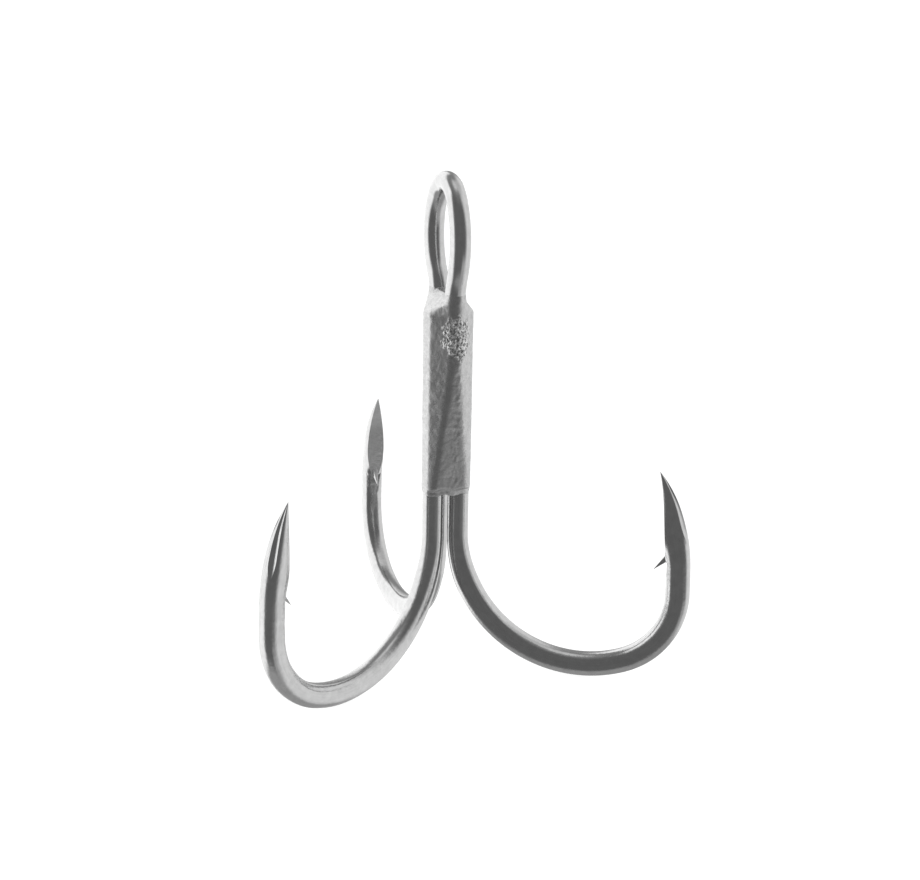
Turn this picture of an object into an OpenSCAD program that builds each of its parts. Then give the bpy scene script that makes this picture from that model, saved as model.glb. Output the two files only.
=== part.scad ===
// Treble hook, millimetres. One eyed hook and two plain hooks stand round a common shank,
// joined by a body of braze. The shanks run along +Z with the eye on top, the eyed hook
// bends towards +Y and the eye's hole runs along X. The origin is the middle of the eye.

/* [Wire] */
// Diameter of the round wire in the shanks
wire_d = 1.8; // [1.5:0.05:2.2]
// Depth of the forged bend, measured in the plane of the hook
bend_depth = 2.05; // [1.7:0.05:2.5]
// Thickness of the forged bend, measured across the plane of the hook
bend_thick = 1.8; // [1.5:0.05:2.3]
// Squareness of the forged bend: 2 is oval, more is squarer
forged_power = 2.6; // [2:0.1:4]
// Gap between neighbouring shanks, filled with braze
shank_gap = 0.52; // [0.3:0.02:0.9]

/* [Hooks] */
// Turn from the eyed hook round to the right plain hook, seen from above
right_at = 124; // [112:1:128]
// Turn from the eyed hook round to the left plain hook, seen from above
left_at = 240; // [232:1:248]
// Radius of the first, wide part of the bend
bend_r = 10.87; // [8:0.1:14]
// Angle turned by the wide part of the bend
bend_turn = 111; // [95:1:120]
// Radius of the second, tighter part of the bend
heel_r = 7; // [5:0.1:9]
// Angle turned by the tight part of the bend
heel_turn = 70; // [60:1:84]
// Length of the point, from the end of the bend to the tip
point_len = 10.9; // [8:0.1:14]
// Angle the point turns inwards over its length
point_turn = 6; // [0:1:12]
// Further angle turned inwards over the last third of the point
tip_turn = 7.5; // [0:0.5:12]

/* [Points] */
// Length over which the point narrows in the plane of the hook
grind_deep = 8.6; // [6:0.1:10]
// Length over which the point narrows across the plane of the hook
grind_wide = 5.8; // [4:0.1:8]
// Share of the inner side left standing by the flat ground on the point
flat_share = 0.62; // [0.5:0.01:0.9]
// Distance from the tip to the free end of the barb
barb_back = 8.95; // [7:0.1:10]
// Length of the barb
barb_len = 2.2; // [1.5:0.1:3]
// Height of the barb above the inner side of the wire
barb_rise = 1.1; // [0.6:0.05:1.5]
// Overhang of the barb's free end beyond its root
barb_hook = 0.8; // [0.4:0.05:1.2]
// Width of the barb at its root
barb_wide = 0.8; // [0.5:0.05:1.2]

/* [Eye] */
// Diameter of the wire round the eye
eye_wire_d = 1.72; // [1.4:0.05:2.2]
// Half the width of the eye, measured to the middle of the wire
eye_half_w = 3.3; // [3:0.05:4.2]
// Radius of the top of the eye, measured to the middle of the wire
eye_top_r = 2.7; // [2.3:0.05:3]
// Angle turned on each side between the widest place and the round top
eye_side_turn = 35; // [20:1:45]
// Height from the top of the plain shanks to the widest place of the eye
eye_throat_h = 6.3; // [5:0.1:8]
// Length of the wire's end laid in the groove between the plain shanks
tongue_len = 4; // [2.5:0.1:6]

/* [Braze] */
// Length of the column of braze over the shanks, below its shoulder
braze_len = 15.5; // [12:0.5:22]
// Clear length of shank between the start of the bend and the braze
bare_shank = 4; // [3:0.1:7]
// How far the braze fills out the sides between the wires, as a share of the wire
side_fill = 0.72; // [0.7:0.02:0.8]
// Thickness of the braze over the wires at the head of the column
braze_skin = 0.1; // [0.06:0.01:0.3]
// Height of the shoulder that draws in to the eye above the column
shoulder_h = 1.7; // [1:0.1:2.5]
// Height of the worn lip at the foot of the braze
lip_h = 0.5; // [0.2:0.05:1]

/* [Hidden] */

SIDES = 24;     // flats round the wire
STEP = 5;       // degrees of bend between rings
SKIN_FN = 48;

wire_r = wire_d / 2;
ring_r = (wire_d + shank_gap) / sqrt(3);      // shank centres from the axis
core_r = ring_r + (side_fill - 0.5) * wire_d;   // braze between the wires
bend_z = bend_r + bend_depth / 2;             // height of the bend's start over the lowest point
braze_z0 = bend_z + bare_shank;
braze_z1 = braze_z0 + braze_len;
shank_top = braze_z1 - wire_r * 0.2;          // plain shanks end just under the shoulder

eye_r = eye_wire_d / 2;
// widest place of the eye over the lowest point: the row's origin
eye_z = shank_top + eye_throat_h;
// radius of the eye's flank that meets the round top on the axis
eye_side_r = (eye_half_w - eye_top_r * cos(eye_side_turn)) / (1 - cos(eye_side_turn));

// the end of the eyed wire lies in the groove between the plain shanks
groove_a = min(180 - right_at, left_at - 180);
tongue_y = ring_r * cos(groove_a)
    + sqrt(pow(wire_r + eye_r + 0.02, 2) - pow(ring_r * sin(groove_a), 2));
tongue_z0 = shank_top - tongue_len;

// throat curves: two equal arcs each side, from upright to the widest place
front_z = shank_top + wire_r * 0.8;
back_z = shank_top - wire_r * 0.2;
front_turn = 2 * atan((eye_half_w - tongue_y) / (eye_z - front_z));
front_arc = (eye_z - front_z) / (2 * sin(front_turn));
back_turn = 2 * atan((eye_half_w - ring_r) / (eye_z - back_z));
back_arc = (eye_z - back_z) / (2 * sin(back_turn));
// where the two sides of the eye leave the braze
cap_z = braze_z1 + shoulder_h;
front_out = tongue_y + front_arc * (1 - cos(asin(max(0, cap_z - front_z) / front_arc)));
back_out = ring_r + back_arc * (1 - cos(asin((cap_z - back_z) / back_arc)));

RAD = PI / 180;

// ---- a wire's middle line in its own plane: [out, up, heading, length so far] ----

// where a run of length l that turns by a degrees ends
function run_end(q, l, a) = abs(a) < 0.001
    ? [q[0] + l * cos(q[2]), q[1] + l * sin(q[2]), q[2], q[3] + l]
    : let (r = l / (a * RAD))
        [q[0] + r * (sin(q[2] + a) - sin(q[2])), q[1] + r * (cos(q[2]) - cos(q[2] + a)),
            q[2] + a, q[3] + l];
// runs are [length, turn, rings]
function walk(q, runs, i = 0) = i >= len(runs) ? []
    : concat([for (k = [1:runs[i][2]])
            run_end(q, runs[i][0] * k / runs[i][2], runs[i][1] * k / runs[i][2])],
        walk(run_end(q, runs[i][0], runs[i][1]), runs, i + 1));
function arc(r, a) = [r * abs(a) * RAD, a, ceil(abs(a) / STEP)];

heel_runs = [arc(bend_r, bend_turn), arc(heel_r, heel_turn)];
bend_runs = concat(heel_runs, [
    [point_len * 2 / 3, point_turn * 2 / 3, 8],
    [point_len / 3, point_turn / 3 + tip_turn, 6],
]);
function length_of(runs, i = 0) = i >= len(runs) ? 0 : runs[i][0] + length_of(runs, i + 1);

// a plain shank starts square under the shoulder and runs down to the bend
plain_start = [ring_r, shank_top, -90, 0];
plain_runs = concat([[shank_top - bend_z, 0, 1]], bend_runs);

// the eyed wire starts in the groove, climbs round the eye and down its own shank
eye_start = [-tongue_y, tongue_z0, 90, 0];
eye_runs = [
    [front_z - tongue_z0, 0, 2],
    arc(front_arc, front_turn),
    arc(front_arc, -front_turn),
    arc(eye_side_r, -eye_side_turn),
    arc(eye_top_r, -(180 - 2 * eye_side_turn)),
    arc(eye_side_r, -eye_side_turn),
    arc(back_arc, -back_turn),
    arc(back_arc, back_turn),
    [back_z - bend_z, 0, 3],
];
eyed_runs = concat(eye_runs, bend_runs);

// ---- the wire's section ----

function ease(t) = let (c = min(1, max(0, t))) c * c * (3 - 2 * c);
function worn(t) = let (c = min(1, max(0, t))) 1 - (1 - c) * (1 - c);
function mix(a, b, t) = a + (b - a) * t;

// half depth, half thickness, share of the inner side, shift to the inner side and
// squareness, at s along a wire of length s_end whose bend starts at s_bend
function section(s, s_bend, s_end) =
    let (forged = ease((s - s_bend) / (bend_r * 0.5)),
        left = s_end - s,
        full = mix(wire_r, bend_depth / 2, forged),
        flat = mix(flat_share, 1, ease((left - grind_deep * 0.6) / (grind_deep * 0.4))),
        deep = full * max(0.03, worn(left / grind_deep)) * 2 / (1 + flat),
        wide = mix(wire_r, bend_thick / 2, forged) * max(0.03, worn(left / grind_wide)))
    [deep, wide, flat, full - deep * flat, mix(2, forged_power, forged)];

// as above for the eyed wire, drawn a little thinner round the eye
function eyed_section(s, s_bend, s_end) =
    let (down = s_bend - (back_z - bend_z),
        r = mix(eye_r, wire_r, ease((s - down) / wire_d)))
    s < s_bend ? [r, r, 1, 0, 2] : section(s, s_bend, s_end);

// one ring of points round the middle line, in the YZ plane with X across
function ring(q, sec) = [for (k = [0:SIDES - 1])
    let (t = (k + 0.5) * 360 / SIDES,
        far = pow(pow(abs(cos(t)), sec[4]) + pow(abs(sin(t)), sec[4]), -1 / sec[4]),
        inner = min(sec[0] * far * cos(t), sec[0] * sec[2]) + sec[3])
    [sec[1] * far * sin(t), q[0] - inner * sin(q[2]), q[1] + inner * cos(q[2])]];

// a closed skin over a list of rings, from a flat end to a sharp tip
module skin(rings, tip) {
    n = len(rings);
    polyhedron(
        points = concat([for (r = rings) each r], [tip]),
        faces = concat(
            [[for (k = [0:SIDES - 1]) k]],
            [for (i = [0:n - 2], k = [0:SIDES - 1]) let (j = (k + 1) % SIDES)
                each [[i * SIDES + k, (i + 1) * SIDES + k, (i + 1) * SIDES + j],
                    [i * SIDES + k, (i + 1) * SIDES + j, i * SIDES + j]]],
            [for (k = [0:SIDES - 1])
                [(n - 1) * SIDES + k, n * SIDES, (n - 1) * SIDES + (k + 1) % SIDES]]),
        convexity = 10);
}

// where a point ends: the inner side of the full section carried on to the tip
function tip_of(last) = [last[0] - bend_depth / 2 * sin(last[2]),
    last[1] + bend_depth / 2 * cos(last[2])];

// the barb: a sliver raised from the inner side of the point, its free end towards the bend
module barb() {
    heel = walk([ring_r, bend_z, -90, 0], heel_runs);
    ahead = point_len - barb_back;
    q = run_end(heel[len(heel) - 1], ahead, point_turn * ahead / point_len);
    sunk = bend_depth * 0.4;
    under = barb_hook * (barb_rise + sunk) / barb_rise;
    // along the point towards its tip, out from its inner side and across
    function at(along, out, x) = let (rise = bend_depth / 2 + out)
        [x, q[0] + along * cos(q[2]) - rise * sin(q[2]),
            q[1] + along * sin(q[2]) + rise * cos(q[2])];
    hull() polyhedron(
        points = [for (side = [-1, 1]) each [
            at(barb_len + 0.3, -0.25, side * barb_wide * 0.3),
            at(barb_len + 0.1, -sunk, side * barb_wide * 0.3),
            at(under, -sunk, side * barb_wide / 2),
            at(0, barb_rise, side * 0.04)]],
        faces = [[0, 1, 2], [0, 2, 3], [4, 6, 5], [4, 7, 6], [0, 4, 5], [0, 5, 1],
            [1, 5, 6], [1, 6, 2], [2, 6, 7], [2, 7, 3], [3, 7, 4], [3, 4, 0]]);
}

// ---- sub-parts ----

module wire(start, runs, eyed) {
    s_end = length_of(runs);
    s_bend = s_end - length_of(bend_runs);
    path = concat([start], walk(start, runs));
    tip = tip_of(path[len(path) - 1]);
    skin([for (i = [0:len(path) - 2]) let (q = path[i]) ring(q,
            eyed ? eyed_section(q[3], s_bend, s_end) : section(q[3], s_bend, s_end))],
        [0, tip[0], tip[1]]);
}

module stand() {
    translate([0, 0, -eye_z]) children();
}

module plain_hook(at) {
    stand() rotate([0, 0, -at]) union() {
        wire(plain_start, plain_runs, false);
        barb();
    }
}

module eyed_hook() {
    color([0.74, 0.75, 0.76]) stand() union() {
        wire(eye_start, eyed_runs, true);
        barb();
    }
}

module right_hook() {
    color([0.74, 0.75, 0.76]) plain_hook(right_at);
}

module left_hook() {
    color([0.74, 0.75, 0.76]) plain_hook(left_at);
}

// a column of braze over all three shanks, its radius over each wire at foot and head
module column(z0, z1, skin0, skin1) {
    hull() {
        for (a = [0, right_at, left_at]) rotate([0, 0, -a]) translate([0, ring_r, z0])
            cylinder(h = z1 - z0, r1 = wire_r + skin0, r2 = wire_r + skin1, $fn = SKIN_FN);
        // fills the sides out between the wires
        translate([0, 0, z0])
            cylinder(h = z1 - z0, r1 = core_r + skin0, r2 = core_r + skin1, $fn = SKIN_FN);
    }
}

// the braze over the end of the eyed wire, running out down the front of the column
module front_cover() {
    hull() {
        translate([0, -tongue_y, tongue_z0])
            cylinder(h = braze_z1 - tongue_z0, r = eye_r + braze_skin, $fn = SKIN_FN);
        for (a = [right_at, left_at]) rotate([0, 0, -a])
            translate([0, ring_r, braze_z0 + lip_h])
                cylinder(h = braze_z1 - braze_z0 - lip_h, r = wire_r, $fn = SKIN_FN);
    }
}

// the shoulder, from the head of the column up to both sides of the eye
module shoulder() {
    disc = 0.05;
    hull() {
        for (a = [0, right_at, left_at]) rotate([0, 0, -a])
            translate([0, ring_r, braze_z1 - disc])
                cylinder(h = disc, r = wire_r + braze_skin, $fn = SKIN_FN);
        translate([0, -tongue_y, braze_z1 - disc])
            cylinder(h = disc, r = eye_r + braze_skin, $fn = SKIN_FN);
        for (y = [-front_out, back_out]) translate([0, y, cap_z - disc])
            cylinder(h = disc, r = eye_r * 1.02, $fn = SKIN_FN);
    }
}

module braze() {
    color([0.55, 0.55, 0.55]) stand() difference() {
        union() {
            column(braze_z0 + lip_h, braze_z1, braze_skin * 0.4, braze_skin);
            column(braze_z0, braze_z0 + lip_h, 0.01, braze_skin * 0.4);
            front_cover();
            shoulder();
        }
        for (a = [right_at, left_at]) rotate([0, 0, -a]) wire(plain_start, plain_runs, false);
        wire(eye_start, eyed_runs, true);
    }
}

eyed_hook();
right_hook();
left_hook();
braze();
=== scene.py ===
"""Treble hook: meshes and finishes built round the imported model, in the row's own frame.

Sizes are millimetres and degrees until a mesh is made, which is in metres. Heights are
measured from the lowest point of the bends.
"""

import logging
import math
from dataclasses import dataclass, field, replace
from enum import Enum
from typing import Callable

import bmesh
import bpy
from mathutils import Matrix, Vector, noise


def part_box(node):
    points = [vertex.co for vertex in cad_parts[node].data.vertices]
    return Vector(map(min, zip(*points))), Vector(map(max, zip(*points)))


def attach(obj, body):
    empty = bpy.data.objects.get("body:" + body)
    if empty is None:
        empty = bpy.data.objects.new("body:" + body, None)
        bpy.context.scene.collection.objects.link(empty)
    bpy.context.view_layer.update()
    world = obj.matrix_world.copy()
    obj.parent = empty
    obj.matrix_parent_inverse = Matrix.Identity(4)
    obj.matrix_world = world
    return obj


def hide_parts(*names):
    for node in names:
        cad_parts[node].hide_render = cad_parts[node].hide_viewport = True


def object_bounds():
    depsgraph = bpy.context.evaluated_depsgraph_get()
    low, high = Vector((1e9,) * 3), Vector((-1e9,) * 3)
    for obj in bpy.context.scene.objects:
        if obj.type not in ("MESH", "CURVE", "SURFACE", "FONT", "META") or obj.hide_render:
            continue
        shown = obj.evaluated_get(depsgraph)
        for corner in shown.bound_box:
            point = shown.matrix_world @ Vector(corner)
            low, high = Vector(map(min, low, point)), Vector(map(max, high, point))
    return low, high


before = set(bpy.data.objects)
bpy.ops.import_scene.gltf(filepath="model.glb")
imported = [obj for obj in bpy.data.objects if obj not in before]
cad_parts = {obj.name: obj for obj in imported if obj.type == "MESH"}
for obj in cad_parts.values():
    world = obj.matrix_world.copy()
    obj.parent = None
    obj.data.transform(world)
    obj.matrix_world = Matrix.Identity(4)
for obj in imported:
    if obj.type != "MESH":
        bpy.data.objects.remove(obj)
CAD_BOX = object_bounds()

MM = 0.001
BODY = "root"
LOWEST = CAD_BOX[0].z / MM
STRAIGHT = "straight"
FORGED = "forged"
PITTED = "pitted"
HALVINGS = 26
SMALL = 0.001
SHARP_DEG = 32.0
log = logging.getLogger("treble_hook")


class Slot(Enum):
    """The record's material slots."""

    WIRE = "wire"
    BRAZE = "braze"


class Hook(Enum):
    """The three hooks by their nodes' names."""

    EYED = "eyed_hook"
    RIGHT = "right_hook"
    LEFT = "left_hook"


# ---- small sums -------------------------------------------------------------------------


def mix(a: float, b: float, share: float) -> float:
    """Goes from a to b as share goes from 0 to 1."""
    return a + (b - a) * share


def ease(share: float) -> float:
    """A smooth step from 0 to 1 with flat ends."""
    t = min(1.0, max(0.0, share))
    return t * t * (3 - 2 * t)


def worn(share: float) -> float:
    """Rises from 0 to 1, steeply at first and level at the end."""
    t = min(1.0, max(0.0, share))
    return 1 - (1 - t) ** 2


# ---- a wire's middle line ---------------------------------------------------------------


@dataclass(frozen=True)
class Place:
    """A place on a wire's middle line, in the plane of its hook."""

    out: float
    up: float
    heading: float
    along: float = 0.0


@dataclass(frozen=True)
class Run:
    """A stretch of a middle line that is straight or one arc."""

    length: float
    turn: float = 0.0
    gap: float = 1.0

    @staticmethod
    def arc(radius: float, turn: float, gap: float = 3.0) -> "Run":
        """Makes a run that bends at a radius.

        Args:
            radius: Radius of the bend.
            turn: Angle turned, positive to the left of the heading.
            gap: Angle between rings.

        Returns:
            The run.
        """
        length = radius * math.radians(abs(turn))
        return Run(length, turn, length * gap / abs(turn))

    def end(self, start: Place, share: float = 1.0) -> Place:
        """Goes along the run.

        Args:
            start: Where the run begins.
            share: How much of the run to cover.

        Returns:
            The place reached.
        """
        length, turn = self.length * share, self.turn * share
        h0, h1 = math.radians(start.heading), math.radians(start.heading + turn)
        if abs(turn) < 1e-6:
            out, up = length * math.cos(h0), length * math.sin(h0)
        else:
            r = length / math.radians(turn)
            out, up = r * (math.sin(h1) - math.sin(h0)), r * (math.cos(h0) - math.cos(h1))
        return Place(start.out + out, start.up + up, start.heading + turn, start.along + length)


@dataclass(frozen=True)
class MiddleLine:
    """A wire's middle line: a start and the runs that follow it."""

    start: Place
    runs: tuple[Run, ...]

    @property
    def length(self) -> float:
        """Length of the whole line."""
        return sum(r.length for r in self.runs)

    def places(self) -> list[Place]:
        """Returns the places of the rings, run by run."""
        found, at = [self.start], self.start
        for run in self.runs:
            steps = max(1, round(run.length / run.gap))
            found += [run.end(at, (k + 1) / steps) for k in range(steps)]
            at = found[-1]
        return found

    def at(self, along: float) -> Place:
        """Returns the place at a length along the line."""
        here = self.start
        for run in self.runs:
            if along <= here.along + run.length:
                return run.end(here, (along - here.along) / run.length)
            here = run.end(here)
        return here


# ---- a wire's section -------------------------------------------------------------------


@dataclass(frozen=True)
class Section:
    """A wire's section: a round or squarish outline, cut by ground flats.

    Attributes:
        deep: Half its size in the plane of the hook.
        wide: Half its size across that plane.
        power: Squareness of the outline; 2 is oval.
        shift: How far its middle lies inwards of the wire's middle line.
        inner: Distance of the inner side's flat from the middle.
        corner: Distance of the outer corners' flats from the middle.
        hollow: Depth that the corners' flats are hollowed to.
        spread: Angle of the first span of points where there is no inner flat.
    """

    deep: float
    wide: float
    power: float = 2.0
    shift: float = 0.0
    inner: float = math.inf
    corner: float = math.inf
    hollow: float = 0.0
    spread: float = 24.0

    CORNER_DEG = 24.0
    CORNER_SEARCH = range(95, 176, 2)
    SPANS = (4, 8, 6, 3)
    LEAST_INNER, MOST_INNER = 3.0, 84.0
    LEAST_SIDE, LEAST_CORNER = 4.0, 1.5
    MOST_SECOND, MOST_THIRD = 174.5, 177.5

    @classmethod
    def points_round(cls) -> int:
        """Number of points round one section."""
        return 2 * sum(cls.SPANS)

    def reach(self, deg: float) -> float:
        """Returns the uncut outline's distance from the middle at an angle."""
        t = math.radians(deg)
        n = self.power
        return ((abs(math.cos(t)) / self.deep) ** n + (abs(math.sin(t)) / self.wide) ** n) ** (-1 / n)

    def over_corner(self, deg: float) -> float:
        """Returns how far the uncut outline stands over the corner's flat at an angle."""
        c, t = math.radians(self.CORNER_DEG), math.radians(deg)
        return self.reach(deg) * (math.sin(t) * math.sin(c) - math.cos(t) * math.cos(c)) - self.corner

    def edges(self) -> tuple[float, float, float]:
        """Finds the angles of the flats' edges.

        Returns:
            The inner flat's edge and the corner flat's two edges, in degrees from the
            inner side round to the outer side.
        """
        def inner_over(deg: float) -> float:
            return self.reach(deg) * math.cos(math.radians(deg)) - self.inner

        top = max(self.CORNER_SEARCH, key=replace(self, corner=0.0).over_corner)
        first = self.spread
        if inner_over(0) > 0:
            first = max(_root(inner_over, 0, 90), self.LEAST_INNER)
        if self.over_corner(top) > 0:
            second = _root(self.over_corner, top, 91)
            third = _root(self.over_corner, top, 179)
        else:
            second = third = float(top)
        first = min(first, self.MOST_INNER)
        second = max(min(second, self.MOST_SECOND), first + self.LEAST_SIDE)
        third = min(max(third, second + self.LEAST_CORNER), self.MOST_THIRD)
        return first, second, third

    def outline(self) -> list[tuple[float, float]]:
        """Returns the points round the section as (towards the inner side, across)."""
        marks = (0.0, *self.edges(), 180.0)
        low, high = marks[2], marks[3]
        half = [marks[0]]
        for (a, b), n in zip(zip(marks, marks[1:]), self.SPANS):
            half += [mix(a, b, (k + 1) / n) for k in range(n)]
        c = math.radians(self.CORNER_DEG)
        points = []
        for deg in half:
            t = math.radians(deg)
            r = self.reach(deg)
            if math.cos(t) > 0:
                r = min(r, self.inner / math.cos(t))
            facing = math.sin(t) * math.sin(c) - math.cos(t) * math.cos(c)
            if facing > 0:
                r = min(r, self.corner / facing)
            if low < deg < high:
                r -= self.hollow * 4 * (deg - low) * (high - deg) / (high - low) ** 2
            points.append((r * math.cos(t), r * math.sin(t)))
        return points + [(x, -y) for x, y in points[-2:0:-1]]

    @classmethod
    def crease_marks(cls) -> dict[int, str]:
        """Returns which points round the section lie on a flat's edge."""
        a, b, c = cls.SPANS[0], sum(cls.SPANS[:2]), sum(cls.SPANS[:3])
        n = cls.points_round()
        kinds = {a: "inner", b: "corner", c: "corner"}
        return kinds | {n - at: kind for at, kind in kinds.items()}


def _root(f: Callable[[float], float], inside: float, outside: float) -> float:
    """Halves a span until it holds where f falls to nothing.

    Args:
        f: Falls from above nothing at inside to below it at outside.
        inside: Angle where f is above nothing.
        outside: Angle where f is below it.

    Returns:
        The angle between them where f is nothing.
    """
    for _ in range(HALVINGS):
        middle = (inside + outside) / 2
        if f(middle) > 0:
            inside = middle
        else:
            outside = middle
    return (inside + outside) / 2


def braze_ends() -> list[float]:
    """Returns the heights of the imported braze's foot and top."""
    return [corner.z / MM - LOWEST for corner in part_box("braze")]


# ---- hooks ------------------------------------------------------------------------------


@dataclass(frozen=True)
class HookSizes:
    """Sizes that all three hooks share."""

    wire_d: float = 1.8
    bend_depth: float = 2.05
    bend_thick: float = 1.8
    forged_power: float = 2.6
    shank_gap: float = 0.52
    bend_r: float = 10.87
    bend_turn: float = 111.0
    heel_r: float = 7.0
    heel_turn: float = 70.0
    point_len: float = 10.9
    point_turn: float = 6.0
    tip_turn: float = 7.5
    grind_deep: float = 8.6
    grind_wide: float = 5.8
    flat_share: float = 0.57
    flat_from: float = 0.6
    flat_fade: float = 3.0
    tip_share: float = 0.03
    oval_tip: float = 1.0
    corner_from: float = 6.4
    corner_fade: float = 1.8
    corner_share: float = 0.93
    hollow: float = 0.1
    hollow_fade: float = 2.2
    barb_back: float = 8.95
    barb_len: float = 1.45
    barb_rise: float = 1.1
    barb_hook: float = 0.8
    barb_wide: float = 0.8
    barb_tip: float = 0.04
    barb_sunk: float = 0.4
    notch_depth: float = 0.16
    notch_len: float = 1.5

    @property
    def wire_r(self) -> float:
        """Radius of the round wire."""
        return self.wire_d / 2

    @property
    def ring_r(self) -> float:
        """Distance of each shank's middle from the axis."""
        return (self.wire_d + self.shank_gap) / math.sqrt(3)

    @property
    def bend_z(self) -> float:
        """Height at which the bends begin."""
        return self.bend_r + self.bend_depth / 2

    def bend_runs(self) -> tuple[Run, ...]:
        """Returns the runs of the bend and the point."""
        return (
            Run.arc(self.bend_r, self.bend_turn, 2.5),
            Run.arc(self.heel_r, self.heel_turn, 3),
            Run(self.point_len * 2 / 3, self.point_turn * 2 / 3, 0.22),
            Run(self.point_len / 3, self.point_turn / 3 + self.tip_turn, 0.15),
        )

    def section(self, along: float, bend_at: float, end_at: float) -> Section:
        """Works out a hook's section below the eye.

        Args:
            along: Length along the middle line.
            bend_at: Where on the line the bend begins.
            end_at: Where on the line the tip is.

        Returns:
            The section there.
        """
        forged = ease((along - bend_at) / (self.bend_r * 0.5))
        left = end_at - along
        full = mix(self.wire_r, self.bend_depth / 2, forged)
        unground = self.grind_deep * (1 - self.flat_from)
        flat = mix(self.flat_share, 1, ease((left - self.grind_deep * self.flat_from) / unground))
        deep = full * max(self.tip_share, worn(left / self.grind_deep)) * 2 / (1 + flat)
        wide = mix(self.wire_r, self.bend_thick / 2, forged)
        wide *= max(self.tip_share, worn(left / self.grind_wide))
        squared = forged * ease((left - self.oval_tip) / self.grind_wide)
        power = mix(2, self.forged_power, squared)
        whole = Section(deep, wide, power, corner=0.0)
        touch = max(whole.over_corner(a) for a in Section.CORNER_SEARCH)
        cut = ease((self.corner_from - left) / self.corner_fade)
        return Section(
            deep, wide, power, full - deep * flat,
            inner=deep * flat if flat < 1 - SMALL else math.inf,
            corner=touch * mix(1.0, self.corner_share, cut) if cut > 0 else math.inf,
            hollow=self.hollow * cut * ease(left / self.hollow_fade),
            spread=mix(Section.LEAST_INNER, Section.spread,
                       ease((left - self.grind_deep) / self.flat_fade)),
        )


@dataclass(frozen=True)
class EyeSizes:
    """Sizes of the eye and of the wire's end laid between the plain shanks."""

    wire_d: float = 1.72
    half_w: float = 3.3
    top_r: float = 2.7
    side_turn: float = 35.0
    tongue_len: float = 4.0
    shoulder_h: float = 1.7

    @property
    def wire_r(self) -> float:
        """Radius of the wire round the eye."""
        return self.wire_d / 2


def as_object(bm: bmesh.types.BMesh, name: str) -> bpy.types.Object:
    """Puts a bmesh, freed here, into a new object of the scene."""
    mesh = bpy.data.meshes.new(name)
    bm.to_mesh(mesh)
    bm.free()
    made = bpy.data.objects.new(name, mesh)
    bpy.context.scene.collection.objects.link(made)
    return made


def shaped(raw: bpy.types.Object) -> bmesh.types.BMesh:
    """Returns an object's shape with its modifiers applied."""
    bm = bmesh.new()
    bm.from_mesh(raw.evaluated_get(bpy.context.evaluated_depsgraph_get()).to_mesh())
    return bm


def finish_mesh(bm: bmesh.types.BMesh, name: str, slot: Slot, *nodes: str) -> bpy.types.Object:
    """Turns a bmesh in millimetres over the lowest point into a finished piece.

    Args:
        bm: The shape, freed here.
        name: Name of the piece.
        slot: Not used.
        nodes: CAD nodes that the piece stands for.

    Returns:
        The new object.
    """
    bmesh.ops.translate(bm, vec=(0, 0, LOWEST), verts=bm.verts[:])
    bmesh.ops.scale(bm, vec=(MM, MM, MM), verts=bm.verts[:])
    piece = as_object(bm, name)
    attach(piece, BODY)
    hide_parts(*nodes)
    return piece


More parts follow.
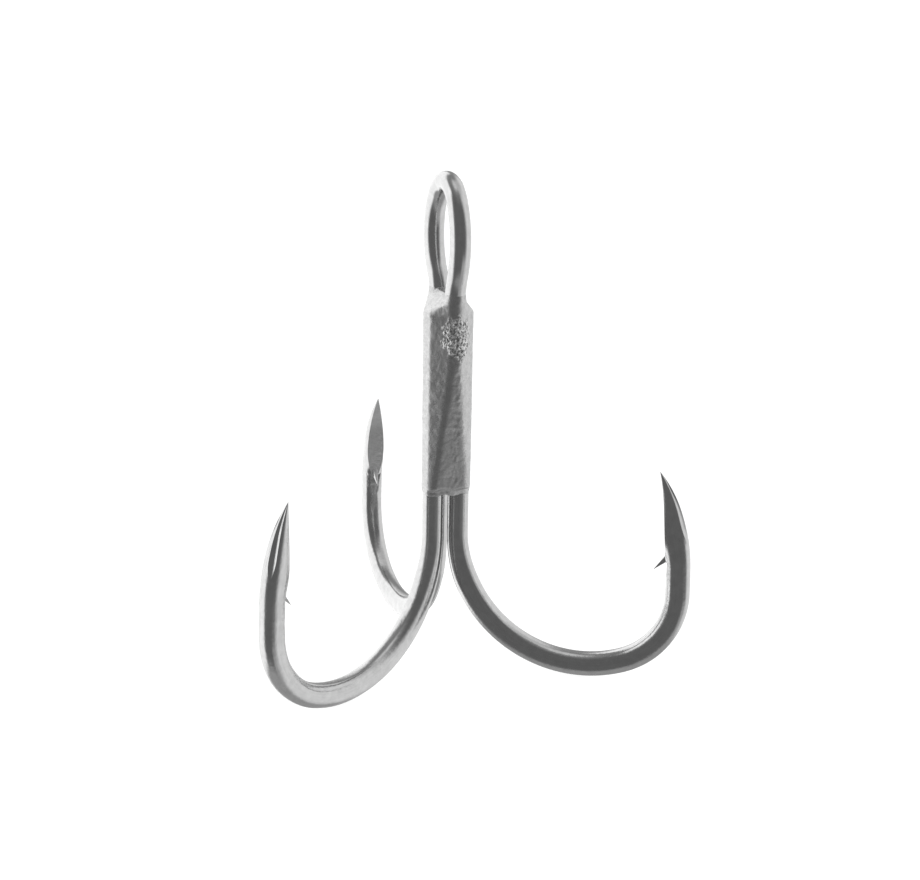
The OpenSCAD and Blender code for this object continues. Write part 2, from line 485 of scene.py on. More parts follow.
@dataclass
class Wire:
    """One hook's wire with its barb."""

    sizes: HookSizes
    node: Hook
    line: MiddleLine
    section_at: Callable[[float], Section]
    turned: float

    def sweep(self) -> bmesh.types.BMesh:
        """Extrudes a ring along the middle line and draws it to a point.

        Returns:
            The closed wire, in the plane of its hook.
        """
        bm = bmesh.new()
        mark = bm.verts.layers.int.new("mark")
        straight = bm.verts.layers.float_vector.new(STRAIGHT)
        forged = bm.verts.layers.float.new(FORGED)
        count = Section.points_round()
        made = bmesh.ops.create_circle(bm, cap_ends=True, segments=count, radius=1)
        ring = made["verts"]
        for k, v in enumerate(ring):
            v[mark] = k
        edges = list(dict.fromkeys(e for v in ring for e in v.link_edges))
        creases = Section.crease_marks()
        *places, last = self.line.places()
        for number, place in enumerate(places):
            section = self.section_at(place.along)
            if number > 0:
                made = bmesh.ops.extrude_edge_only(bm, edges=edges)
                ring = [g for g in made["geom"] if isinstance(g, bmesh.types.BMVert)]
                fresh = set(ring)
                edges = [g for g in made["geom"] if isinstance(g, bmesh.types.BMEdge)
                         and g.verts[0] in fresh and g.verts[1] in fresh]
                self._mark_creases(ring, fresh, mark, creases, section)
            self._lay(ring, mark, straight, place, section)
            for v in ring:
                v[forged] = (section.power - 2) / (self.sizes.forged_power - 2)
        tip = self.point_at(last, self.sizes.bend_depth / 2, 0)
        bmesh.ops.pointmerge(bm, verts=ring, merge_co=tip)
        bmesh.ops.recalc_face_normals(bm, faces=bm.faces[:])
        for f in bm.faces:
            f.smooth = True
        return bm

    @staticmethod
    def _mark_creases(ring: list[bmesh.types.BMVert], fresh: set[bmesh.types.BMVert],
                      mark: bmesh.types.BMLayerItem, creases: dict[int, str], section: Section) -> None:
        """Makes the edges along the ground flats sharp."""
        for v in ring:
            kind = creases.get(v[mark])
            if kind is None or (section.inner if kind == "inner" else section.corner) == math.inf:
                continue
            for e in v.link_edges:
                if e.other_vert(v) not in fresh:
                    e.smooth = False

    def _lay(self, ring: list[bmesh.types.BMVert], mark: bmesh.types.BMLayerItem,
             straight: bmesh.types.BMLayerItem, place: Place, section: Section) -> None:
        """Moves a ring's points to their section round a place."""
        outline = section.outline()
        for v in ring:
            inner, across = outline[v[mark]]
            v.co = self.point_at(place, inner + section.shift, across)
            v[straight] = Vector((inner, across, place.along)) * MM

    @staticmethod
    def point_at(place: Place, inner: float, across: float) -> Vector:
        """Returns the point beside a place, in the hook's plane with X across."""
        h = math.radians(place.heading)
        return Vector((across, place.out - inner * math.sin(h), place.up + inner * math.cos(h)))

    def barb_point(self, ahead: float, out: float, across: float) -> Vector:
        """Returns a point by its way ahead of the barb's free end and out of the inner side."""
        root = self.line.at(self.line.length - self.sizes.barb_back)
        h = math.radians(root.heading)
        base = self.point_at(root, self.sizes.bend_depth / 2 + out, across)
        return base + Vector((0, math.cos(h), math.sin(h))) * ahead

    def hull(self, points: list[Vector], soften: float) -> bpy.types.Object:
        """Makes a small closed body from its corners.

        Args:
            points: The corners.
            soften: Width of the bevel on its edges.

        Returns:
            A loose object to join to the wire or cut from it.
        """
        bm = bmesh.new()
        for p in points:
            bm.verts.new(p)
        bmesh.ops.convex_hull(bm, input=bm.verts[:])
        bmesh.ops.dissolve_limit(bm, angle_limit=math.radians(2), verts=bm.verts[:], edges=bm.edges[:])
        if soften > 0:
            bmesh.ops.bevel(bm, geom=bm.edges[:], offset=soften, segments=2, profile=0.5,
                            affect="EDGES", material=-1)
        bmesh.ops.triangulate(bm, faces=bm.faces[:])
        bmesh.ops.recalc_face_normals(bm, faces=bm.faces[:])
        return as_object(bm, "cutter")

    def barb(self) -> bpy.types.Object:
        """Makes the sliver that stands up from the inner side."""
        s = self.sizes
        sunk = s.bend_depth * s.barb_sunk
        under = s.barb_hook * (s.barb_rise + sunk) / s.barb_rise
        narrow = s.barb_wide * 0.3
        corners = [self.barb_point(a, o, side * w) for side in (-1, 1) for a, o, w in (
            (s.barb_len + 0.3, -0.25, narrow),
            (s.barb_len + 0.1, -sunk, narrow),
            (under, -sunk, s.barb_wide / 2),
            (0, s.barb_rise, s.barb_tip))]
        return self.hull(corners, 0.02)

    def notch(self) -> bpy.types.Object:
        """Makes the wedge that the barb's cut leaves behind it."""
        s = self.sizes
        slope = s.barb_hook / s.barb_rise
        clear = 0.7
        corners = [self.barb_point(a, o, side * s.bend_thick) for side in (-1, 1) for a, o in (
            (s.barb_hook + s.notch_depth * slope, -s.notch_depth),
            (-s.notch_len, 0.03),
            (-s.notch_len, clear),
            (s.barb_hook - clear * slope, clear))]
        return self.hull(corners, 0)

    def build(self) -> bpy.types.Object:
        """Sweeps the wire, cuts the notch and joins the barb.

        Returns:
            The finished piece.
        """
        raw = as_object(self.sweep(), "wire")
        tools = ((self.notch(), "DIFFERENCE"), (self.barb(), "UNION"))
        for tool, operation in tools:
            cut = raw.modifiers.new("cut", "BOOLEAN")
            cut.object, cut.operation, cut.solver = tool, operation, "EXACT"
        bm = shaped(raw)
        for old in (raw, *(t for t, _ in tools)):
            bpy.data.objects.remove(old)
        for e in bm.edges:
            if len(e.link_faces) == 2 and e.calc_face_angle() > math.radians(SHARP_DEG):
                e.smooth = False
        for f in bm.faces:
            f.smooth = True
        turn = Matrix.Rotation(math.radians(-self.turned), 3, "Z")
        bmesh.ops.rotate(bm, matrix=turn, verts=bm.verts[:])
        return finish_mesh(bm, self.node.value + "_wire", Slot.WIRE, self.node.value)


@dataclass
class Hooks:
    """The eyed hook and the two plain hooks."""

    sizes: HookSizes = field(default_factory=HookSizes)
    eye: EyeSizes = field(default_factory=EyeSizes)
    right_at: float = 124.0
    left_at: float = 240.0

    @property
    def column_top(self) -> float:
        """Height of the braze column's head."""
        return braze_ends()[1] - self.eye.shoulder_h

    @property
    def shank_top(self) -> float:
        """Height of the plain shanks' ends."""
        return self.column_top - self.sizes.wire_r * 0.2

    @property
    def front_z(self) -> float:
        """Height where the eye's front side begins to bend outwards."""
        return self.shank_top + self.sizes.wire_r * 0.8

    @property
    def back_z(self) -> float:
        """Height where the eye's back side begins to bend outwards."""
        return self.shank_top - self.sizes.wire_r * 0.2

    @property
    def tongue_y(self) -> float:
        """Distance from the axis to the middle of the wire's end in the front groove."""
        a = math.radians(min(180 - self.right_at, self.left_at - 180))
        r = self.sizes.ring_r
        reach = self.sizes.wire_r + self.eye.wire_r + 0.02
        return r * math.cos(a) + math.sqrt(reach ** 2 - (r * math.sin(a)) ** 2)

    @property
    def eye_z(self) -> float:
        """Height of the eye's widest place, which is the row's origin."""
        return -LOWEST

    def plain_line(self) -> MiddleLine:
        """Returns a plain hook's middle line."""
        s = self.sizes
        start = Place(s.ring_r, self.shank_top, -90)
        return MiddleLine(start, (Run(self.shank_top - s.bend_z, 0, 1.0), *s.bend_runs()))

    def eyed_line(self) -> MiddleLine:
        """Returns the eyed hook's middle line, from its end in the groove to its tip."""
        s, e = self.sizes, self.eye
        front_z, back_z = self.front_z, self.back_z
        end_z = self.shank_top - e.tongue_len
        front_turn = 2 * math.degrees(math.atan((e.half_w - self.tongue_y) / (self.eye_z - front_z)))
        front_arc = (self.eye_z - front_z) / (2 * math.sin(math.radians(front_turn)))
        back_turn = 2 * math.degrees(math.atan((e.half_w - s.ring_r) / (self.eye_z - back_z)))
        back_arc = (self.eye_z - back_z) / (2 * math.sin(math.radians(back_turn)))
        cosine = math.cos(math.radians(e.side_turn))
        side_r = (e.half_w - e.top_r * cosine) / (1 - cosine)
        side = Run.arc(side_r, -e.side_turn, 3)
        return MiddleLine(Place(-self.tongue_y, end_z, 90), (
            Run(front_z - end_z, 0, 0.5),
            Run.arc(front_arc, front_turn, 2),
            Run.arc(front_arc, -front_turn, 2),
            side,
            Run.arc(e.top_r, -(180 - 2 * e.side_turn), 5),
            side,
            Run.arc(back_arc, -back_turn, 2),
            Run.arc(back_arc, back_turn, 2),
            Run(back_z - s.bend_z, 0, 1.0),
            *s.bend_runs(),
        ))

    def build(self) -> list[bpy.types.Object]:
        """Builds the three hooks.

        Returns:
            The three pieces.
        """
        plain, eyed = self.plain_line(), self.eyed_line()
        s = self.sizes
        tail = sum(r.length for r in s.bend_runs())

        def plain_section(along: float) -> Section:
            return s.section(along, plain.length - tail, plain.length)

        def eyed_section(along: float) -> Section:
            bend_at = eyed.length - tail
            if along >= bend_at:
                return s.section(along, bend_at, eyed.length)
            down = bend_at - (self.back_z - s.bend_z)
            r = mix(self.eye.wire_r, s.wire_r, ease((along - down) / s.wire_d))
            return Section(r, r)

        wires = (
            Wire(s, Hook.EYED, eyed, eyed_section, 0),
            Wire(s, Hook.RIGHT, plain, plain_section, self.right_at),
            Wire(s, Hook.LEFT, plain, plain_section, self.left_at),
        )
        return [w.build() for w in wires]


# ---- braze ------------------------------------------------------------------------------


@dataclass(frozen=True)
class Disc:
    """A level disc that a hull is stretched over."""

    x: float
    y: float
    z: float
    r: float


@dataclass(frozen=True)
class PittedPatch:
    """The rough place over the end of the eyed wire."""

    x: float = 0.12
    z: float = 29.5
    half_w: float = 1.25
    half_h: float = 2.0
    swell: float = 0.03
    coarse: float = 0.11
    fine: float = 0.05
    grain: float = 4.2

    def share(self, p: Vector) -> float:
        """Returns how far inside the patch a point is, from 0 to 1."""
        if p.y > -1.0:
            return 0.0
        off = math.hypot((p.x - self.x) / self.half_w, (p.z - self.z) / self.half_h)
        ragged = 0.28 * noise.noise(p * 2.1)
        return ease((1.12 + ragged - off) / 0.42)

    def height(self, p: Vector) -> float:
        """Returns how far the patch stands up at a point, before its edge fades it."""
        return (self.swell + self.coarse * noise.noise(p * self.grain)
                + self.fine * noise.noise(p * self.grain * 2.1))


@dataclass
class Braze:
    """The body of braze over the three shanks, drawn up to the foot of the eye."""

    hooks: Hooks
    foot_skin: float = 0.07
    head_skin: float = 0.13
    side_fill: float = 0.72
    front_fill: float = 0.34
    limb_skin: float = 0.06
    saddle_drop: float = 0.5
    saddle_slim: float = 0.5
    climb_from: float = 0.9
    climb_h: float = 1.1
    climb_skins: tuple[float, float] = (0.14, -0.12)
    lip_h: float = 0.5
    sag: float = 0.3
    waves: tuple[tuple[float, float], ...] = ((0.022, 0.9), (0.012, 2.4))
    foot_waves: tuple[tuple[float, float], ...] = ((0.16, 1.7), (0.1, 4.1))
    voxel: float = 0.085
    smoothing: int = 9
    patch: PittedPatch = field(default_factory=PittedPatch)

    @property
    def foot(self) -> float:
        """Height of the foot of the column."""
        return braze_ends()[0]

    @property
    def cap(self) -> float:
        """Height where the two sides of the eye leave the braze."""
        return braze_ends()[1]

    def shank_discs(self, z: float, skin: float) -> list[Disc]:
        """Returns a disc round each shank and one that fills out the sides between them."""
        s = self.hooks.sizes
        spots = [math.radians(a) for a in (0, self.hooks.right_at, self.hooks.left_at)]
        discs = [Disc(s.ring_r * math.sin(a), s.ring_r * math.cos(a), z, s.wire_r + skin) for a in spots]
        core = s.ring_r + (self.side_fill - 0.5) * s.wire_d
        return discs + [Disc(0, 0, z, core + skin)]

    def stretch(self, bm: bmesh.types.BMesh, discs: list[Disc]) -> None:
        """Adds to a bmesh the closed hull over some discs."""
        rims = []
        for d in discs:
            made = bmesh.ops.create_circle(bm, segments=48, radius=d.r,
                                           matrix=Matrix.Translation((d.x, d.y, d.z)))
            rims += made["verts"]
        made = bmesh.ops.convex_hull(bm, input=rims)
        spare = dict.fromkeys(g for g in made["geom_interior"] + made["geom_unused"]
                              if isinstance(g, bmesh.types.BMVert))
        bmesh.ops.delete(bm, geom=list(spare), context="VERTS")

    def limb_discs(self, line: MiddleLine) -> list[list[Disc]]:
        """Returns pairs of discs that creep up both sides of the eye."""
        climbs = []
        whole = self.climb_h + self.climb_from
        for limb in self.limbs(line):
            inside = [p for p in limb if -self.climb_from < p.up - self.cap < self.climb_h]
            inside.sort(key=lambda p: p.up)
            discs = [Disc(0, p.out, p.up, self.hooks.eye.wire_r
                          + mix(*self.climb_skins, ease((p.up - self.cap + self.climb_from) / whole)))
                     for p in inside]
            climbs += [list(pair) for pair in zip(discs, discs[1:])]
        return climbs

    @staticmethod
    def limbs(line: MiddleLine) -> list[list[Place]]:
        """Returns the places on the front side of the eye and on its back side."""
        upper = [p for p in line.places() if p.along < line.length * 0.5]
        return [[p for p in upper if p.out * side > 0] for side in (-1, 1)]

    def rough_out(self) -> bmesh.types.BMesh:
        """Stretches the hulls of the column, the front cover, the shoulder and the climbs.

        Returns:
            Overlapping closed hulls.
        """
        h = self.hooks
        head = h.column_top
        foot = self.foot
        tongue = Disc(0, -h.tongue_y, head, h.eye.wire_r + self.head_skin)
        low_tongue = Disc(0, -h.tongue_y, h.shank_top - h.eye.tongue_len, h.eye.wire_r + self.head_skin)
        line = h.eyed_line()
        leaving = [max((p for p in limb if p.up <= self.cap), key=lambda p: p.up)
                   for limb in self.limbs(line)]
        tops = [Disc(0, p.out, self.cap - drop, h.eye.wire_r + self.limb_skin - slim)
                for p in leaving for drop, slim in ((self.saddle_drop, 0), (0, self.saddle_slim))]
        bm = bmesh.new()
        self.stretch(bm, self.shank_discs(foot + self.lip_h * 0.4, self.foot_skin)
                     + self.shank_discs(head, self.head_skin))
        self.stretch(bm, self.shank_discs(foot, self.foot_skin * 0.4)
                     + self.shank_discs(foot + self.lip_h, self.foot_skin * 1.5))
        front = [replace(d, y=d.y - self.front_fill) for z in (head, foot + self.lip_h)
                 for d in self.shank_discs(z, 0)[1:3]]
        self.stretch(bm, [tongue, low_tongue, *front])
        shoulder = self.shank_discs(head, self.head_skin)[:3]
        self.stretch(bm, [*shoulder, tongue, *tops])
        for pair in self.limb_discs(line):
            self.stretch(bm, pair)
        bmesh.ops.recalc_face_normals(bm, faces=bm.faces[:])
        return bm

    def melt(self, bm: bmesh.types.BMesh) -> bmesh.types.BMesh:
        """Runs the hulls together into one skin with soft corners.

        Args:
            bm: The hulls, freed here.

        Returns:
            The one skin.
        """
        raw = as_object(bm, "hulls")
        one = raw.modifiers.new("one_skin", "REMESH")
        one.mode, one.voxel_size = "VOXEL", self.voxel
        soft = raw.modifiers.new("soft", "SMOOTH")
        soft.factor, soft.iterations = 0.5, self.smoothing
        bm = shaped(raw)
        bpy.data.objects.remove(raw)
        return bm

    def roughen(self, bm: bmesh.types.BMesh) -> None:
        """Gives the skin its waves, its pitted patch and its ragged foot.

        Args:
            bm: The skin, in millimetres over the lowest point.
        """
        inside = [e for e in bm.edges if all(self.patch.share(v.co) > 0.02 for v in e.verts)]
        bmesh.ops.subdivide_edges(bm, edges=inside, cuts=2, use_grid_fill=True)
        bm.normal_update()
        foot, cap = self.foot, self.cap
        moves = []
        pitted = bm.verts.layers.float.new(PITTED)
        for v in bm.verts:
            p = v.co
            v[pitted] = self.patch.share(p)
            waves = sum(depth * noise.noise(p * pitch) for depth, pitch in self.waves)
            pits = v[pitted] * self.patch.height(p)
            grain = 0.007 * noise.noise(p * 6.5) + self.seam(p)
            free = ease((p.z - foot - 0.1) / 0.6)
            step = v.normal * (waves * free + pits + grain)
            near_foot = ease((foot + 1.1 - p.z) / 1.0)
            turn = Vector((p.x, p.y, 0)).normalized() * 1.3
            ragged = sum(depth * noise.noise(turn * pitch) for depth, pitch in self.foot_waves)
            step.z += near_foot * (ragged - self.sag * ease(-p.y / 1.5))
            moves.append((v, step))
        for v, step in moves:
            v.co += step
            v.co.z = min(v.co.z, cap + 1.2)

    def seam(self, p: Vector) -> float:
        """Returns the lumps down the line where the braze ran together in front."""
        if p.y > -1.0 or p.z > self.patch.z:
            return 0.0
        near = ease((0.42 - abs(p.x - 0.22)) / 0.25)
        return 0.022 * near * noise.noise(Vector((p.x, p.y, p.z * 0.6)) * 4.4)

    def build(self) -> bpy.types.Object:
        """Makes the braze.

        Returns:
            The finished piece.
        """
        bm = self.melt(self.rough_out())
        self.roughen(bm)
        bmesh.ops.recalc_face_normals(bm, faces=bm.faces[:])
        for f in bm.faces:
            f.smooth = True
        return finish_mesh(bm, "braze_body", Slot.BRAZE, "braze")


# ---- finishes ---------------------------------------------------------------------------


class Shader:
    """A node tree with short ways to add and join nodes."""

    def __init__(self, tree: bpy.types.NodeTree) -> None:
        """Takes the tree to fill."""
        self.tree = tree

    def node(self, kind: str, inputs: dict | None = None, **settings: object) -> bpy.types.Node:
        """Adds a node.

        Args:
            kind: The node's type without its ShaderNode prefix.
            inputs: Sockets to set, or to join where the value is a socket.
            settings: The node's own properties.

        Returns:
            The node.
        """
        made = self.tree.nodes.new("ShaderNode" + kind)
        for name, value in settings.items():
            setattr(made, name, value)
        for name, value in (inputs or {}).items():
            if isinstance(value, bpy.types.NodeSocket):
                self.tree.links.new(value, made.inputs[name])
            else:
                made.inputs[name].default_value = value
        return made

    def group(self, tree: bpy.types.NodeTree, inputs: dict[str, object]) -> bpy.types.Node:
        """Adds a node group, and sets or joins its inputs."""
        return self.node("Group", inputs, node_tree=tree)

    def sum(self, operation: str, *values: object) -> bpy.types.NodeSocket:
        """Adds a Math node and returns its output."""
        return self.node("Math", dict(enumerate(values)), operation=operation).outputs[0]

    def step(self, value: object, low: float, high: float) -> bpy.types.NodeSocket:
        """Adds a smooth step that rises from 0 at low to 1 at high."""
        inputs = {"Value": value, "From Min": low, "From Max": high}
        return self.node("MapRange", inputs, interpolation_type="SMOOTHSTEP").outputs["Result"]

    def grain(self, where: object, scale: float, detail: float = 3.0) -> bpy.types.NodeSocket:
        """Adds a noise texture and returns its factor."""
        inputs = {"Vector": where, "Scale": scale, "Detail": detail, "Roughness": 0.6}
        return self.node("TexNoise", inputs).outputs["Fac"]

    def grey(self, share: object, dark: float, light: float) -> bpy.types.NodeSocket:
        """Adds a mix from a dark to a light grey."""
        inputs = {0: share, 6: (dark, dark, dark, 1), 7: (light, light, light, 1)}
        return self.node("Mix", inputs, data_type="RGBA").outputs[2]


def make_group(name: str, inputs: dict[str, object], outputs: tuple[str, ...],
               fill: Callable[[Shader, dict], dict]) -> bpy.types.NodeTree:
    """Builds a shader node group once.

    Args:
        name: Name of the group.
        inputs: Its inputs with their usual values; None is a vector.
        outputs: Names of its outputs, all of them values.
        fill: Gets the shader and the inputs' sockets, and returns each output's socket.

    Returns:
        The group's node tree.
    """
    tree = bpy.data.node_groups.new(name, "ShaderNodeTree")
    for key, value in inputs.items():
        kind = "NodeSocketVector" if value is None else "NodeSocketFloat"
        made = tree.interface.new_socket(key, in_out="INPUT", socket_type=kind)
        if value is not None:
            made.default_value = value
    for key in outputs:
        tree.interface.new_socket(key, in_out="OUTPUT", socket_type="NodeSocketFloat")
    start, end = tree.nodes.new("NodeGroupInput"), tree.nodes.new("NodeGroupOutput")
    found = fill(Shader(tree), {key: start.outputs[key] for key in inputs})
    for key in outputs:
        tree.links.new(found[key], end.inputs[key])
    return tree


def fill_drawn(sh: Shader, given: dict) -> dict:
    """Fills the group of a drawn wire's marks: lines along it, pits and soft blotches."""
    where = given["Vector"]
    along = sh.node("Mapping", {"Vector": where, "Scale": (1, 1, 0.045)}).outputs[0]
    lines = sh.grain(along, 7.0, 4.0)
    specks = sh.grain(where, 9.0, 5.0)
    blotches = sh.grain(where, 1.4, 3.0)
    pits = sh.step(specks, 0.62, 0.74)
    height = sh.sum("MULTIPLY", lines, given["Lines"])
    height = sh.sum("MULTIPLY_ADD", specks, given["Specks"], height)
    hammered = sh.grain(where, 3.2, 4.0)
    height = sh.sum("MULTIPLY_ADD", sh.sum("MULTIPLY", hammered, given["Forged"]), 3.0, height)
    height = sh.sum("MULTIPLY_ADD", pits, -0.5, height)
    shade = sh.sum("MULTIPLY_ADD", lines, 0.35, sh.sum("MULTIPLY", blotches, 0.65))
    return {"Height": height, "Shade": sh.step(shade, 0.3, 0.7), "Pits": pits}


def fill_cast(sh: Shader, given: dict) -> dict:
    """Fills the group of a set metal's skin: grains of three sizes and open pores."""
    where = given["Vector"]
    coarse = sh.grain(where, 1.6, 3.0)
    middle = sh.grain(where, 5.5, 4.0)
    fine = sh.grain(where, 15.0, 4.0)
    pores = sh.step(sh.grain(where, 7.5, 5.0), 0.58, 0.7)
    height = sh.sum("MULTIPLY", middle, given["Middle"])
    height = sh.sum("MULTIPLY_ADD", fine, given["Fine"], height)
    height = sh.sum("MULTIPLY_ADD", pores, -0.4, height)
    shade = sh.sum("MULTIPLY_ADD", coarse, 0.5, sh.sum("MULTIPLY", middle, 0.5))
    return {"Height": height, "Shade": sh.step(shade, 0.34, 0.66), "Pores": pores}


@dataclass(frozen=True)
class Metal:
    """A grey metal; its marks come from a node group of height, shade and pits.

    Attributes:
        dark: Grey where the marks' shade is least.
        light: Grey where it is most.
        rough_least: Roughness where the shade is most.
        rough_most: Roughness where it is least.
        depth: Height of the finest relief, in metres.
    """

    dark: float
    light: float
    rough_least: float
    rough_most: float
    depth: float

    PIT_GREY = (0.3, 0.3, 0.3, 1)

    @staticmethod
    def blank(name: str) -> tuple[bpy.types.Material, Shader]:
        """Returns an empty material and the shader that fills it."""
        made = bpy.data.materials.new(name)
        made.use_nodes = True
        made.node_tree.nodes.clear()
        return made, Shader(made.node_tree)

    @staticmethod
    def in_mm(sh: Shader, place: bpy.types.NodeSocket) -> bpy.types.NodeSocket:
        """Turns a place in metres into millimetres."""
        return sh.node("VectorMath", {0: place, "Scale": 1 / MM}, operation="SCALE").outputs[0]

    def colour(self, sh: Shader, group: bpy.types.Node, pits: str, share: float) -> bpy.types.NodeSocket:
        """Mixes the shaded grey with a share of the pits' darker grey."""
        grey = sh.grey(group.outputs["Shade"], self.dark, self.light)
        return sh.node("Mix", {0: sh.sum("MULTIPLY", group.outputs[pits], share), 6: grey,
                               7: self.PIT_GREY}, data_type="RGBA").outputs[2]

    def rough(self, sh: Shader, group: bpy.types.Node) -> bpy.types.NodeSocket:
        """Returns the roughness that goes with the marks' shade."""
        return sh.node("MapRange", {"Value": group.outputs["Shade"], "To Min": self.rough_most,
                                    "To Max": self.rough_least}).outputs["Result"]

    def coat(self, sh: Shader, group: bpy.types.Node, colour: bpy.types.NodeSocket,
             rough: bpy.types.NodeSocket) -> None:
        """Joins colour, roughness and relief into the material's surface."""
        bump = sh.node("Bump", {"Height": group.outputs["Height"], "Strength": 1.0,
                                "Distance": self.depth})
        metal = sh.node("BsdfPrincipled", {"Base Color": colour, "Metallic": 1.0, "Roughness": rough,
                                           "Normal": bump.outputs[0]})
        sh.node("OutputMaterial", {"Surface": metal.outputs[0]})


@dataclass(frozen=True)
class TinnedWire(Metal):
    """Drawn steel wire with a thin bright coat of tin."""

    dark: float = 0.56
    light: float = 0.64
    rough_least: float = 0.12
    rough_most: float = 0.22
    depth: float = 0.000005
    lines: float = 0.5
    specks: float = 0.8
    pits: float = 0.5

    def material(self) -> bpy.types.Material:
        """Builds the finish, whose marks follow the wire.

        Returns:
            The material.
        """
        inputs = {"Vector": None, "Lines": self.lines, "Specks": self.specks, "Forged": 0.0}
        marks = make_group("drawn_marks", inputs, ("Height", "Shade", "Pits"), fill_drawn)
        made, sh = self.blank("tinned_wire")
        where = self.in_mm(sh, sh.node("Attribute", attribute_name=STRAIGHT).outputs["Vector"])
        forged = sh.node("Attribute", attribute_name=FORGED).outputs["Fac"]
        group = sh.group(marks, {"Vector": where, "Forged": forged, "Lines": self.lines,
                                 "Specks": self.specks})
        self.coat(sh, group, self.colour(sh, group, "Pits", self.pits), self.rough(sh, group))
        return made


@dataclass(frozen=True)
class DullBraze(Metal):
    """Braze under the same tin, dull and uneven where it set."""

    dark: float = 0.5
    light: float = 0.62
    rough_least: float = 0.26
    rough_most: float = 0.38
    depth: float = 0.000007
    middle: float = 0.7
    fine: float = 0.45
    pores: float = 0.6
    speckle: float = 0.85
    patch_rough: float = 0.22

    def material(self) -> bpy.types.Material:
        """Builds the finish.

        Returns:
            The material.
        """
        inputs = {"Vector": None, "Middle": self.middle, "Fine": self.fine}
        skin = make_group("cast_skin", inputs, ("Height", "Shade", "Pores"), fill_cast)
        made, sh = self.blank("dull_braze")
        where = self.in_mm(sh, sh.node("TexCoord").outputs["Object"])
        group = sh.group(skin, {"Vector": where, "Middle": self.middle, "Fine": self.fine})
        colour = self.colour(sh, group, "Pores", self.pores)
        pitted = sh.node("Attribute", attribute_name=PITTED).outputs["Fac"]
        speckle = sh.grey(sh.step(sh.grain(where, 4.5, 3.0), 0.4, 0.6), 0.28, 1.0)
        colour = sh.node("Mix", {0: sh.sum("MULTIPLY", pitted, self.speckle), 6: colour, 7: speckle},
                         data_type="RGBA").outputs[2]
        rough = sh.sum("MULTIPLY_ADD", pitted, self.patch_rough, self.rough(sh, group))
        self.coat(sh, group, colour, rough)
        return made


# ---- studio -----------------------------------------------------------------------------


@dataclass(frozen=True)
class Panel:
    """A lit or dark part of the studio round the object, in degrees from the camera's side."""

    level: float
    azimuth: float
    half_w: float
    elevation: float
    half_h: float
    edge_w: float = 8.0
    edge_h: float = 8.0


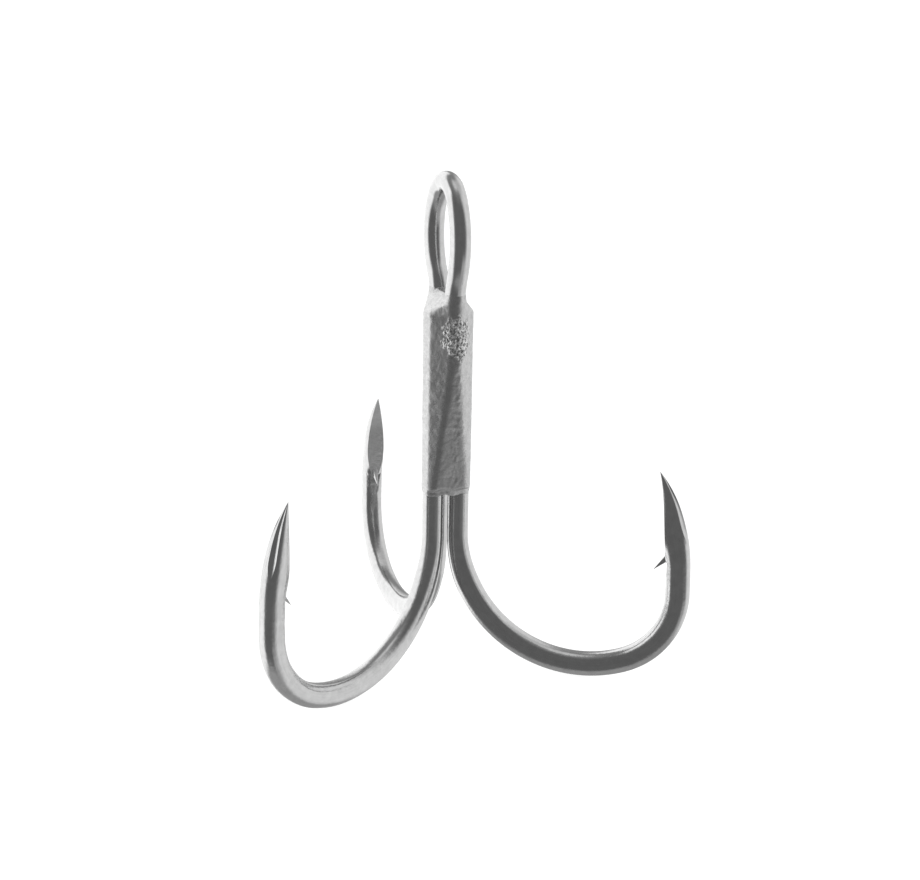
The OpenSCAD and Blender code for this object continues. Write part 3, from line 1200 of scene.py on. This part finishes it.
@dataclass(frozen=True)
class Studio:
    """A pale floor and soft panels of light round the object."""

    panels: tuple[Panel, ...] = (
        Panel(0.158, -18, 74, 0, 52, 12, 14),
        Panel(0.42, 0, 180, -90, 42, 8, 8),
        Panel(0.83, 0, 180, 90, 18, 8, 10),
        Panel(0.95, 180, 26, -22, 26, 8, 8),
        Panel(1.06, 180, 26, 0, 16, 10, 8),
        Panel(0.68, 105, 50, 58, 18, 16, 8),
        Panel(0.5, 180, 56, 24, 10, 8, 8),
        Panel(0.5, 72, 42, -38, 14, 14, 8),
        Panel(0.95, 116, 48, 0, 46, 16, 10),
        Panel(0.34, -129, 66, -2, 44, 10, 6),
        Panel(1.4, -123, 51, -2, 44, 8, 6),
    )
    room: float = 0.29
    backdrop: float = 0.98
    glow: float = 0.92
    floor_grey: float = 0.4
    floor_rough: float = 0.9
    floor_half: float = 6.0
    floor_gap: float = 0.02

    def build(self) -> None:
        """Sets the floor and the light."""
        self.light()
        self.floor()

    @staticmethod
    def fill_panel(sh: Shader, given: dict) -> dict:
        """Fills the group that says how far a direction lies inside a panel."""
        turn = sh.sum("SUBTRACT", given["Azimuth"], given["Middle"])
        turn = sh.sum("WRAP", turn, 180.0, -180.0)
        shares = []
        for off, half, edge in ((turn, "Half width", "Side edge"),
                                (sh.sum("SUBTRACT", given["Elevation"], given["Height"]),
                                 "Half height", "Top edge")):
            over = sh.sum("SUBTRACT", given[half], sh.sum("ABSOLUTE", off))
            over = sh.sum("DIVIDE", over, given[edge])
            shares.append(sh.step(over, -1.0, 1.0))
        return {"Share": sh.sum("MULTIPLY", *shares)}

    def light(self) -> None:
        """Makes the world: near white to the camera, and the panels to everything else."""
        scene = bpy.context.scene
        scene.view_settings.view_transform = "Standard"
        scene.world = bpy.data.worlds.new("studio")
        scene.world.use_nodes = True
        scene.world.node_tree.nodes.clear()
        sh = Shader(scene.world.node_tree)
        group = make_group("panel", {"Azimuth": 0.0, "Elevation": 0.0, "Middle": 0.0, "Half width": 0.0,
                                     "Height": 0.0, "Half height": 0.0, "Side edge": 1.0,
                                     "Top edge": 1.0}, ("Share",), self.fill_panel)
        way = sh.node("TexCoord").outputs["Generated"]
        turned = sh.node("VectorRotate", {"Vector": way, "Angle": math.radians(-Camera().azimuth)},
                         rotation_type="Z_AXIS").outputs[0]
        xyz = sh.node("SeparateXYZ", {0: turned}).outputs
        azimuth = sh.sum("ARCTAN2", xyz[0], sh.sum("MULTIPLY", xyz[1], -1.0))
        azimuth = sh.sum("DEGREES", azimuth)
        elevation = sh.sum("DEGREES", sh.sum("ARCSINE", xyz[2]))
        level = self.room
        for p in self.panels:
            made = sh.group(group, {"Azimuth": azimuth, "Elevation": elevation, "Middle": p.azimuth,
                                    "Half width": p.half_w, "Height": p.elevation,
                                    "Half height": p.half_h, "Side edge": p.edge_w,
                                    "Top edge": p.edge_h})
            level = sh.node("Mix", {0: made.outputs["Share"], 2: level, 3: p.level}).outputs[0]
        seen = sh.node("LightPath").outputs["Is Camera Ray"]
        level = sh.node("Mix", {0: seen, 2: level, 3: self.backdrop}).outputs[0]
        back = sh.node("Background", {"Color": level})
        sh.node("OutputWorld", {"Surface": back.outputs[0]})

    def floor(self) -> None:
        """Makes the pale floor just under the bends."""
        bm = bmesh.new()
        bmesh.ops.create_grid(bm, x_segments=1, y_segments=1, size=self.floor_half)
        bmesh.ops.translate(bm, vec=(0, 0, (LOWEST - self.floor_gap) * MM), verts=bm.verts[:])
        floor = as_object(bm, "floor")
        made = bpy.data.materials.new("pale_floor")
        made.use_nodes = True
        plain = made.node_tree.nodes["Principled BSDF"]
        plain.inputs["Base Color"].default_value = (*(self.floor_grey,) * 3, 1)
        plain.inputs["Roughness"].default_value = self.floor_rough
        plain.inputs["Specular IOR Level"].default_value = 0.0
        plain.inputs["Emission Color"].default_value = (1, 1, 1, 1)
        plain.inputs["Emission Strength"].default_value = self.glow
        floor.data.materials.append(made)
        floor.visible_glossy = False


# ---- camera -----------------------------------------------------------------------------


@dataclass(frozen=True)
class Camera:
    """The camera, aimed at a point on the hook's axis."""

    target_z: float = -17.435
    distance: float = 156.46
    azimuth: float = -19.68
    elevation: float = 16.19
    yaw: float = 0.5056
    roll: float = 0.912
    lens: float = 71.76

    def build(self) -> bpy.types.Object:
        """Makes the camera the scene's own.

        Returns:
            The camera's object.
        """
        a, e = math.radians(self.azimuth), math.radians(self.elevation)
        back = Vector((math.sin(a) * math.cos(e), -math.cos(a) * math.cos(e), math.sin(e)))
        data = bpy.data.cameras.new("camera")
        data.lens = self.lens
        data.clip_start, data.clip_end = 0.01, 10
        camera = bpy.data.objects.new("camera", data)
        bpy.context.scene.collection.objects.link(camera)
        aim = (-back).to_track_quat("-Z", "Y").to_matrix()
        aim = aim @ Matrix.Rotation(math.radians(-self.yaw), 3, "Y")
        aim = aim @ Matrix.Rotation(math.radians(self.roll), 3, "Z")
        camera.matrix_world = Matrix.Translation((Vector((0, 0, self.target_z))
                                                  + back * self.distance) * MM) @ aim.to_4x4()
        bpy.context.scene.camera = camera
        return camera


def main() -> None:
    """Builds the treble hook and its studio."""
    logging.basicConfig(level=logging.INFO, format="%(name)s: %(message)s")
    Camera().build()
    hooks = Hooks()
    wire, braze = TinnedWire().material(), DullBraze().material()
    pieces = [(piece, wire) for piece in hooks.build()] + [(Braze(hooks).build(), braze)]
    for piece, finish in pieces:
        piece.data.materials.append(finish)
        log.info("%s: %d faces", piece.name, len(piece.data.polygons))
    Studio().build()


if __name__ == "__main__":
    main()
